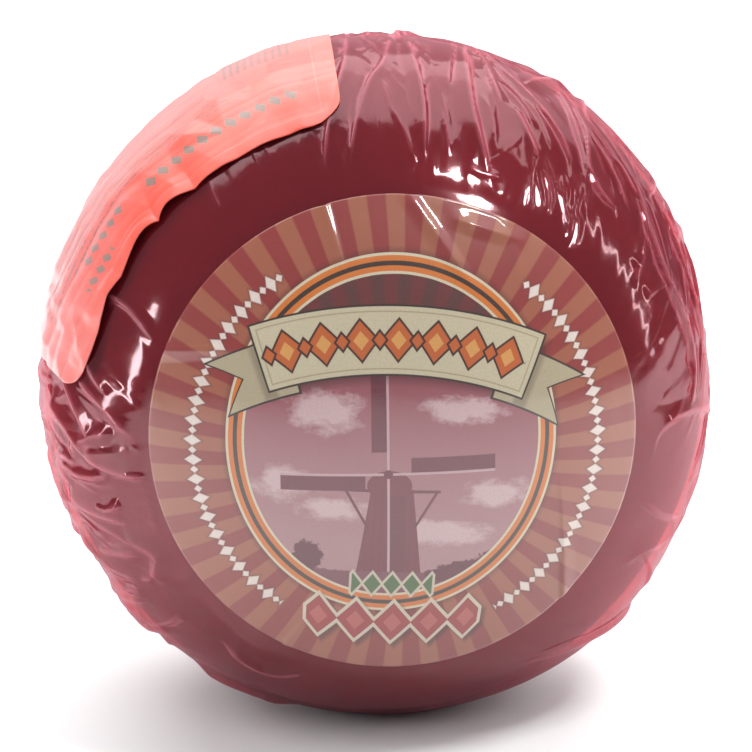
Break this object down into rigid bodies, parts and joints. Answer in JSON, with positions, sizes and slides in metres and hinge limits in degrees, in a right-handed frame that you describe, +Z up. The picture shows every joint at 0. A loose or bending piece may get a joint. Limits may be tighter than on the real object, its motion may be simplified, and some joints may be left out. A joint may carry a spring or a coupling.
{
  "type": "wrapped cheese ball",
  "caption": "Waxed ball of semi-hard cheese in glossy red film, with a round picture label on its front and an oblong label over its rim, standing on a small flat spot.",
  "frame": {"origin": "on the floor, under the middle of the ball, at the centre of the flat spot it rests on", "axes": "+Z up; the round label faces -Y and the film's gather faces +Y; the oblong label is at the upper left, towards -X and +Z"},
  "size_m": [0.1532, 0.1425, 0.1555],
  "materials": {
    "waxed_cheese": "dark red wax, satin",
    "red_film": "clear red film, glossy and crumpled",
    "round_label_paper": "printed glossy paper",
    "side_label_paper": "printed glossy paper"
  },
  "bodies": {
    "root": {"cheese_ball": "waxed_cheese", "film_wrap": "red_film", "front_label": "round_label_paper", "side_label": "side_label_paper"}
  },
  "joints": []
}
